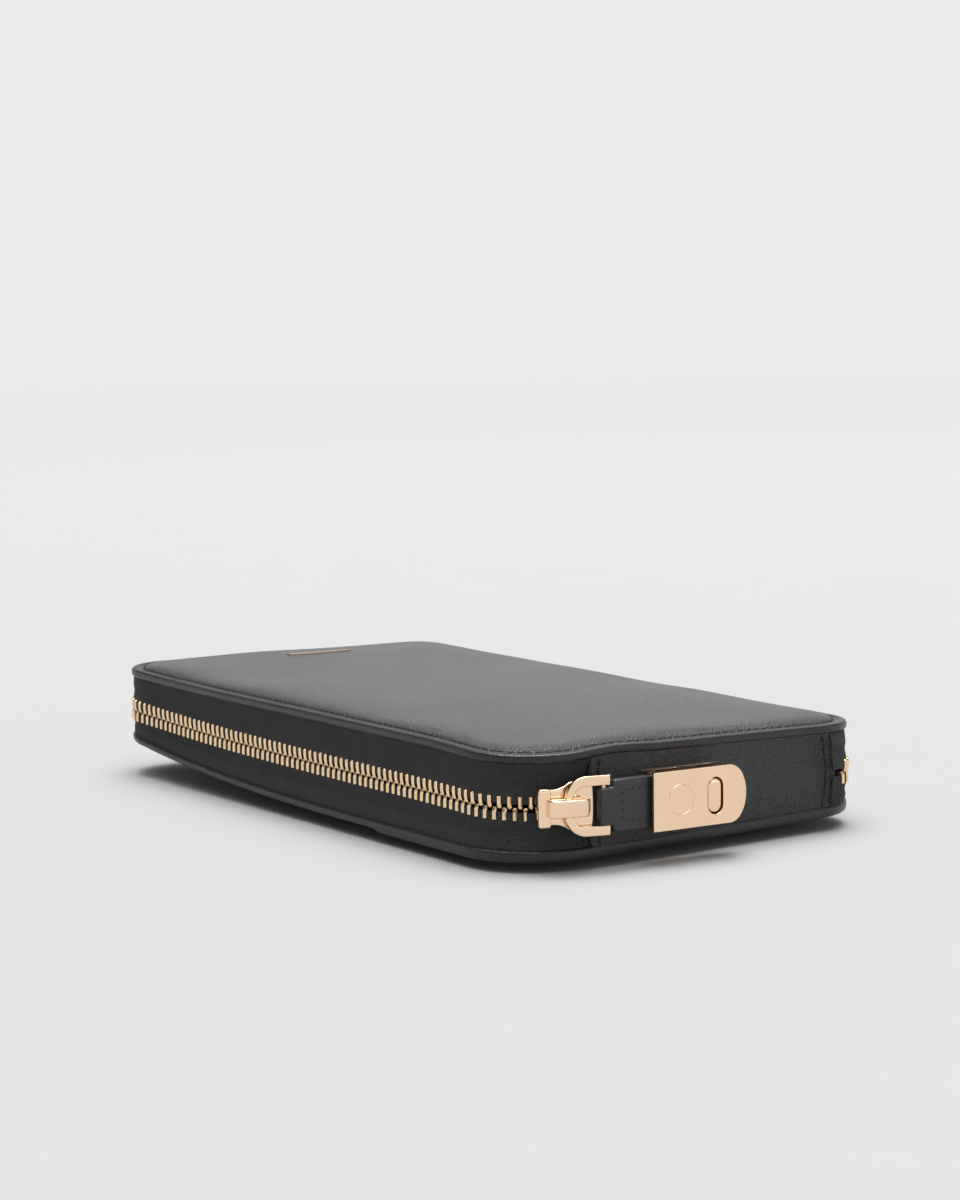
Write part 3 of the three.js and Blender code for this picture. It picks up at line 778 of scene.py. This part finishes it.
# %% [markdown]
# ## Spine panel
# The spine is one piece of leather folded under at each end, where a ridge and a row of stitches show. It
# swells a little between the rims, because the leather is softer than the boards that it joins.

# %% The spine panel
PANEL_FAR = STARTS[7] - (CORNER[3] - ZIP_IN) * PANEL_TURN
PANEL_NEAR = STARTS[8] - 1.0
PANEL_FOLD = 2.7  # from each end to its stitches


def panel_point(along, h, depth=0.0):
    """A point of the panel's face at a distance along the zip and a height from its middle.

    The ends bow: one leans with +(1.3 cos(pi h / 20) - 0.6), the other with -0.6 times that. Each end has a
    ridge where the leather folds under, then a groove for the stitches, and the middle swells."""
    edge = np.minimum(along - PANEL_FAR, PANEL_NEAR - along)
    fold = 0.75 * np.exp(-(((edge - 0.9) / 0.85) ** 2)) - 0.42 * np.exp(-(((edge - PANEL_FOLD) / 0.34) ** 2))
    swell = 0.7 * np.cos(math.pi * h / 21) ** 2 * np.clip(edge / 9, 0, 1)
    face = 0.25 + fold * np.cos(math.pi * h / 24) + swell
    rounding = np.clip(edge / 0.6, 0, 1) ** 0.5
    offset = -0.75 + (face + 0.15) * rounding + depth
    bow = 1.3 * np.cos(math.pi * h / 20) - 0.6
    shift = np.exp(-(along - PANEL_FAR) / 12) * bow - 0.8 * np.exp(-(PANEL_NEAR - along) / 12) * bow
    place, out = around(along - shift, 0.4)
    point = place + offset[..., None] * out
    return lie(np.concatenate([point, (MIDDLE + h)[..., None]], -1)), out


def spine_panel():
    """A closed band round the short side: its face, and a flat back 1.5 mm inside the outline."""
    length = PANEL_NEAR - PANEL_FAR
    fine = np.linspace(0, 4.5, 26) / length
    along = PANEL_FAR + length * np.unique(np.concatenate([np.linspace(0, 1, 60), fine, 1 - fine]))
    h = np.linspace(-10.6, 10.6, 21)
    along_grid, h_grid = np.meshgrid(along, h, indexing="ij")
    face, _ = panel_point(along_grid, h_grid)
    inner_place, inner_out = around(along_grid, 1.9)
    inner = np.concatenate([inner_place, (MIDDLE + h_grid)[..., None]], -1)
    rings = np.concatenate([face, lie(inner)[:, ::-1]], 1)
    piece = tube("spine_leather", rings, closed=False, smooth_angle=60)
    return hand_over(piece, "back_half", "black_leather", cover_leather, "spine_panel")


def panel_stitches():
    """A row of stitches from rim to rim at each end of the panel."""
    h = np.arange(-9.0, 9.1, 2.0)
    frames = []
    for along in (PANEL_FAR + PANEL_FOLD, PANEL_NEAR - PANEL_FOLD):
        at = along + 0 * h
        point, out = panel_point(at, h, 0.12)
        ahead, _ = panel_point(at, h + 0.5, 0.12)
        seam = (ahead - point) / np.linalg.norm(ahead - point, axis=1, keepdims=True)
        outward = np.concatenate([out, 0 * h[:, None]], 1)
        frames.append(stitch_places(point, seam, outward))
    shape, faces = stitch_shape(1.6)
    piece = many("spine_stitches", shape, faces, np.concatenate(frames))
    return hand_over(piece, "back_half", "black_leather", black_thread)


spine_panel()
panel_stitches()
print("the panel runs", round(PANEL_NEAR - PANEL_FAR, 1), "mm round the spine")

# %% [markdown]
# ## Slider
# The slider is two plates that squeeze the teeth together, joined inside. The outer plate is narrow behind
# and flares in front like a Y. A nose closes its narrow end, and a bridge stands on it for the pull's link.

# %% The slider
SLIDER_HEADING = 90 - SLIDER_TURN
ZIP_R = CORNER[0] - ZIP_IN
TURN = math.radians(-SLIDER_TURN)


def beside_zip(out):
    """The point at the slider's place, some way out from the zip's line."""
    reach = ZIP_R + out
    return np.array([CORNER_X[0] + reach * math.cos(TURN), CORNER_Y[0] + reach * math.sin(TURN), MIDDLE])


SLIDER_AT = beside_zip(0.0)


def mirrored(half):
    """A list of points with height above 0, closed by its mirror image below."""
    return np.concatenate([half, (half * [1, -1])[::-1]])


def slider():
    """Two plates, a nose block over the narrow end, and a bridge with a raised middle."""
    flare = np.concatenate([corners((-6.2, 4.0), (-3.2, 4.0)), arc(-3.2, 9.8, 5.8, -88, -50, 7),
                            arc(4.6, 4.7, 1.6, 130, 15, 8), corners((6.4, 3.2), (6.5, 1.0))])
    outer = flat_shape("outer", mirrored(flare), [], 1.7, 2.9, 0.38)
    tongue = corners((-5.5, 3.6), (0, 3.8), (3, 4.4), (5.5, 4.0))
    inner = flat_shape("inner", mirrored(tongue), [], -3.2, -2.3, 0.25)
    block = corners((-6.9, 3.9), (-6.5, 4.35), (-4.4, 4.35), (-4.0, 3.9))
    nose = flat_shape("nose", mirrored(block), [], 1.2, 4.1, 0.5)
    ridge = corners((-6.3, 1.2), (-5.9, 1.9), (4.6, 1.9), (5.4, 1.3))
    rail = flat_shape("rail", mirrored(ridge), [], 2.6, 3.7, 0.4)
    staple = corners((-5.0, 2.5), (-5.0, 5.0), (-4.4, 6.1), (-3.7, 6.4), (3.1, 6.4), (4.0, 6.1), (4.5, 5.1),
                     (4.5, 2.5), (3.2, 2.5), (3.2, 5.0), (2.9, 5.3), (-3.4, 5.3), (-3.7, 5.0), (-3.7, 2.5))
    bridge = flat_shape("bridge", staple, [], -1.95, 1.95, 0.4)
    parts = [(stood_up(points), faces) for points, faces in (outer, inner, nose, rail)] + [bridge]
    points, faces = joined(parts)
    # X runs along the zip towards the spine and Y outwards, so the shape is turned over about X.
    points = placed(points, SLIDER_AT, SLIDER_HEADING, flip=True)
    hand_over(metal_object("zip_slider", points, faces), "zip_slider", "pale_rose_gold", hardware_gold,
              "slider_body")


slider()

# %% [markdown]
# ## Link, strap and pull tab
# A horseshoe link turns in the slider's bridge, and a leather strap loops round the pin between its prongs.
# The strap ends in a hollow metal case with a round end, windows along its edges and a polished inlay.

# %% The link
LINK_OUT = (1.7 + 1.2 + 6.4 - 1.1) / 2
LINK_AT = beside_zip(LINK_OUT)
LINK_TALL, LINK_LONG, LINK_BAR, LINK_EYE = 13.5, 10.5, 2.3, 1.8


def link():
    """A horseshoe plate: two prongs, and a rounded end with a bend outside and inside."""
    half, bend, start = LINK_TALL / 2, 5.0, -LINK_EYE / 2
    end = LINK_LONG + start
    inner = bend - LINK_BAR
    upper = np.concatenate([corners((end, half)), arc(start + bend, half - bend, bend, 90, 180)])
    inside = np.concatenate([arc(start + LINK_EYE + inner, half - bend, inner, 180, 90),
                             corners((end, half - LINK_BAR))])
    outline = np.concatenate([upper, (upper * [1, -1])[::-1], (inside * [1, -1])[::-1], inside])
    points, faces = flat_shape("link", outline, [], -0.7, 0.7, 0.3)
    points = placed(stood_up(points), LINK_AT, SLIDER_HEADING)
    hand_over(metal_object("horseshoe_link", points, faces), "pull_link", "pale_rose_gold", hardware_gold,
              "pull_link")


link()

# %% The strap
PIN_REACH = 8.2
PIN_AT = LINK_AT + PIN_REACH * np.array([math.cos(math.radians(SLIDER_HEADING)),
                                         math.sin(math.radians(SLIDER_HEADING)), 0]) - [0, 0, 0.35]
PULL_HEADING = 85.8
TAB_START, TAB_LONG, TAB_TALL, TAB_THICK, TAB_WALL = 11.4, 25.2, 13.3, 6.0, 0.9
TAB_ROUND = 4.4  # how far the tab's round end bulges


def strap():
    """A flat loop: a neck between the link's prongs, then the full width up to the tab."""
    half = 1.2
    wide = TAB_TALL / 2 - 0.75
    upper = np.concatenate([corners((-1.3, 3.9), (-1.0, 4.25), (1.7, 4.25), (2.0, 4.5)),
                            arc(2.9, wide - 0.9, 0.9, 180, 90, 6),
                            corners((TAB_START - 0.2, wide), (TAB_START + 1.5, wide - 0.6),
                                    (TAB_START + 6, wide - 0.8))])
    points, faces = flat_shape("strap", mirrored(upper), [], -half, half, 0.5)
    points = placed(stood_up(points), PIN_AT, PULL_HEADING)
    piece = mesh_object("leather_pull_strap", points, faces, 50)
    hand_over(piece, "pull_strap", "black_leather", strap_leather, "pull_strap")


def strap_stitches():
    """A square U of stitches on both faces of the strap: across it, then along both edges to the tab."""
    across = np.arange(-2.7, 2.8, 1.8)
    along = np.arange(5.2, TAB_START - 0.4, 1.8)
    spots = [(4.2, z, 0.0) for z in across] + [(x, side * 3.6, 1.0) for x in along for side in (-1, 1)]
    frames = []
    for x, z, lengthways in spots:
        for face in (-1.0, 1.0):
            seam = np.array([lengthways, 0.0, 1.0 - lengthways])
            out = np.array([0.0, face, 0.0])
            frames.append([np.array([x, face * 1.17, z]), seam, np.cross(out, seam), out])
    frames = np.array(frames)
    frames[:, 0] = placed(frames[:, 0], PIN_AT, PULL_HEADING)
    frames[:, 1:] = placed(frames[:, 1:], np.zeros(3), PULL_HEADING)
    shape, faces = stitch_shape(1.3, 0.2)
    hand_over(many("strap_stitches", shape, faces, frames), "pull_strap", "black_leather", black_thread)


strap()
strap_stitches()

# %% The pull tab
def oval(x, y, wide, tall, start, end, count=24):
    """Points on part of an ellipse, with its angles in degrees."""
    return arc(0, 0, 1.0, start, end, count) * [wide, tall] + [x, y]


def pull_tab():
    """Two plates with a round end, a wall round them, and windows through the wall's straight edges."""
    half, r = TAB_THICK / 2, TAB_TALL / 2
    end = TAB_START + TAB_LONG - TAB_ROUND
    outline = np.concatenate([corners((TAB_START, r), (TAB_START, -r)),
                              oval(end, 0, TAB_ROUND, r, -90, 90, 32)])
    slot = np.concatenate([arc(SLOT_X, 2.1, 2.15, 0, 180), arc(SLOT_X, -2.1, 2.15, 180, 360)])
    front = flat_shape("front", outline, [slot[::-1]], half - TAB_WALL, half, 0.14)
    back = flat_shape("back", outline, [], -half, -half + TAB_WALL, 0.14)
    inner_r = r - TAB_WALL
    bend = np.concatenate([oval(end, 0, TAB_ROUND - 0.02, r - 0.02, -90, 90, 32),
                           oval(end, 0, TAB_ROUND - TAB_WALL, inner_r, 90, -90, 32)])
    wall_end = flat_shape("wall", bend, [], -half + TAB_WALL - 0.1, half - TAB_WALL + 0.1, 0.02)
    rail_top = half - 0.15
    rail = corners((TAB_START, -rail_top), (end + 0.1, -rail_top), (end + 0.1, rail_top),
                   (TAB_START, rail_top))
    windows = [corners((x0, -1.15), (x1, -1.15), (x1, 1.15), (x0, 1.15))[::-1]
               for x0, x1 in ((TAB_START + 2.6, TAB_START + 9.0), (TAB_START + 11.0, TAB_START + 18.0))]
    side = flat_shape("side", rail, windows, inner_r, r - 0.02, 0.05)
    other = (side[0] * [1, 1, -1], side[1])
    plates = [(stood_up(p), f) for p, f in (front, back, wall_end)]
    points, faces = joined(plates + [side, other])
    points = placed(points, PIN_AT, PULL_HEADING, flip=True)
    hand_over(metal_object("pull_tab_case", points, faces), "pull_strap", "pale_rose_gold", hardware_gold,
              "pull_tab")


def tab_inlay():
    """The polished oblong in the slot: a plate with well rounded edges."""
    outline = np.concatenate([arc(SLOT_X, 2.1, 1.85, 0, 180), arc(SLOT_X, -2.1, 1.85, 180, 360)])
    points, faces = flat_shape("inlay", outline, [], -1.9, TAB_THICK / 2 - 0.2, 0.55)
    points = placed(stood_up(points), PIN_AT, PULL_HEADING, flip=True)
    hand_over(metal_object("pull_tab_oblong", points, faces), "pull_strap", "pale_rose_gold", hardware_gold,
              "pull_tab_inlay")


def tab_ring():
    """A plain fine ring raised on the tab's front: a circle of a small round section, half sunk."""
    turn = np.linspace(0, 2 * math.pi, 48, endpoint=False)[:, None]
    around_wire = np.linspace(0, 2 * math.pi, 8, endpoint=False)[None, :]
    reach = 3.4 + 0.16 * np.cos(around_wire)
    height = TAB_THICK / 2 - 0.08 + 0.16 * np.sin(around_wire) + 0 * turn
    points = np.stack([TAB_START + 7.4 + reach * np.cos(turn), height, reach * np.sin(turn)], -1)
    piece = tube("pull_tab_ring", placed(points, PIN_AT, PULL_HEADING, flip=True), smooth_angle=80)
    hand_over(piece, "pull_strap", "pale_rose_gold", hardware_gold)


SLOT_X = TAB_START + 16.7
pull_tab()
tab_inlay()
tab_ring()

# %% [markdown]
# The coin pocket with its zip, the back card pocket, the spine's board and lining, the zip's stops, the pin
# and the rivet already have the right shape, so they keep it and only take their finish.

# %% Finishes for the nodes that stay
FINISH_OF_SLOT = {"black_leather": cover_leather, "zip_tape_cloth": lining_cloth,
                  "lining_cloth": lining_cloth, "pale_rose_gold": hardware_gold,
                  "backing_board": fibre_board, "foam_padding": soft_foam, "coil_plastic": nylon_coil}
slot_of_node = {part["node"]: part["material_slot"] for part in frame["record"]["subparts"]}
for name, node in frame["nodes"].items():
    node.data.materials.clear()
    node.data.materials.append(FINISH_OF_SLOT[slot_of_node[name]])
print(len(frame["nodes"]), "nodes have their finish")

# %% [markdown]
# ## Studio
# The wallet stands on a wide sheet of pale paper in an evenly pale room. A bright patch overhead casts the
# shadow, and a low light on the far side lays a sheen along the top cover. A dim band above the horizon
# lets the metal's edges show. Far from the wallet the paper takes the room's own brightness.

# %% Floor, lights and world
PALE = 0.823  # the background's brightness


def studio_floor():
    """A square of paper, 60 m wide. The mix to the room's brightness grows from 0.9 m to 3 m away."""
    half = 30000.0
    square = corners((-half, -half, 0), (half, -half, 0), (half, half, 0), (-half, half, 0))
    floor = mesh_object("studio_floor", square, [[0, 1, 2, 3]])
    paper = Finish("studio paper", Roughness=0.95, IOR=1.2)
    speck = paper.noise(30.0)
    paper.colour(speck, (0.405, 0.405, 0.405), (0.41, 0.41, 0.41))
    distance = paper.node("ShaderNodeVectorMath", {"operation": "LENGTH"}, paper.coordinates())
    away = (Value(paper, distance.outputs["Value"]) - 0.9) / 2.1
    away = away.math("MAXIMUM", 0.0).math("MINIMUM", 1.0)
    glow = paper.node("ShaderNodeEmission", {}, Color=(PALE, PALE, PALE, 1), Strength=1.0)
    mixed = paper.node("ShaderNodeMixShader", {}, away, paper.surface.outputs[0], glow.outputs[0])
    paper.links.new(mixed.outputs[0], paper.nodes["Material Output"].inputs["Surface"])
    floor.data.materials.append(paper.material)


def soft_light(name, place, target, size, power):
    """A rectangular light: place and target in metres, power in watts."""
    lamp = bpy.data.lights.new(name, "AREA")
    lamp.shape, lamp.size, lamp.size_y, lamp.energy = "RECTANGLE", size[0], size[1], power
    holder = bpy.data.objects.new(name, lamp)
    bpy.context.scene.collection.objects.link(holder)
    holder.location = place
    holder.rotation_euler = (Vector(target) - Vector(place)).to_track_quat("-Z", "Y").to_euler()


class Room(Finish):
    """The world: how bright the air is in each direction."""

    def __init__(self):
        self.world = bpy.data.worlds.new("studio air")
        self.world.use_nodes = True
        self.nodes, self.links = self.world.node_tree.nodes, self.world.node_tree.links
        split = self.node("ShaderNodeSeparateXYZ", {}, self.coordinates("Generated"))
        self.x, self.y, self.z = (Value(self, split.outputs[i]) for i in (0, 1, 2))

    def toward(self, azimuth, elevation, tight):
        """A soft patch: the cosine of the angle to a direction, raised to a power."""
        a, e = math.radians(azimuth), math.radians(elevation)
        flat = self.x * (math.cos(a) * math.cos(e)) + self.y * (math.sin(a) * math.cos(e))
        cosine = flat + self.z * math.sin(e)
        return cosine.math("MAXIMUM", 0.0).math("POWER", tight)


def studio_air():
    room = Room()
    # The horizon stays even. A dim band stands above it, then the bright patches overhead.
    high = ((room.z - 0.2) / 0.3).math("MAXIMUM", 0.0).math("MINIMUM", 1.0)
    band = ((room.z - 0.14) / 0.08).math("MAXIMUM", 0.0).math("MINIMUM", 1.0)
    band = band * ((0.85 - room.z) / 0.2).math("MAXIMUM", 0.0).math("MINIMUM", 1.0)
    patches = room.toward(145, 82, 24.0) * 16.0 + room.toward(-60, 70, 12.0) * 1.0
    low = ((room.z - 0.1) / 0.03).math("MAXIMUM", 0.0).math("MINIMUM", 1.0)
    low = low * ((0.2 - room.z) / 0.05).math("MAXIMUM", 0.0).math("MINIMUM", 1.0)
    level = patches * high - band * 0.62 + low * room.toward(145, 10, 3.0) * 1.1 + PALE
    level = level + room.toward(22, 6, 5.0) * 0.75
    made = room.node("ShaderNodeCombineColor", {}, level, level, level)
    room.links.new(made.outputs[0], room.nodes["Background"].inputs["Color"])
    bpy.context.scene.world = room.world


studio_floor()
soft_light("far light", (-0.9, 1.0, 1.2), (0, 0, 0), (0.9, 0.9), 3)
studio_air()
bpy.context.scene.view_settings.view_transform = "Standard"
print("the studio is lit")

# %% Camera
def camera():
    """Looks from beyond the near corner, turned 55 degrees from the long side and a little down."""
    place = (592.5, -411.0, 132.0)
    yaw, pitch, roll = math.radians(55.0), math.radians(6.5), math.radians(-0.72)
    forward = np.array([-math.sin(yaw) * math.cos(pitch), math.cos(yaw) * math.cos(pitch), -math.sin(pitch)])
    side = np.array([math.cos(yaw), math.sin(yaw), 0.0])
    top = np.cross(side, forward)
    right = math.cos(roll) * side + math.sin(roll) * top
    up = -math.sin(roll) * side + math.cos(roll) * top
    lens = bpy.data.cameras.new("camera")
    lens.lens = 86.4
    lens.clip_start, lens.clip_end = 0.05, 30
    holder = bpy.data.objects.new("camera", lens)
    bpy.context.scene.collection.objects.link(holder)
    rows = [[right[i], up[i], -forward[i], place[i] * MM] for i in range(3)]
    holder.matrix_world = Matrix(rows + [[0, 0, 0, 1]])
    bpy.context.scene.camera = holder


camera()

# %% The end
bpy.context.view_layer.update()
print(len(made), "pieces made")
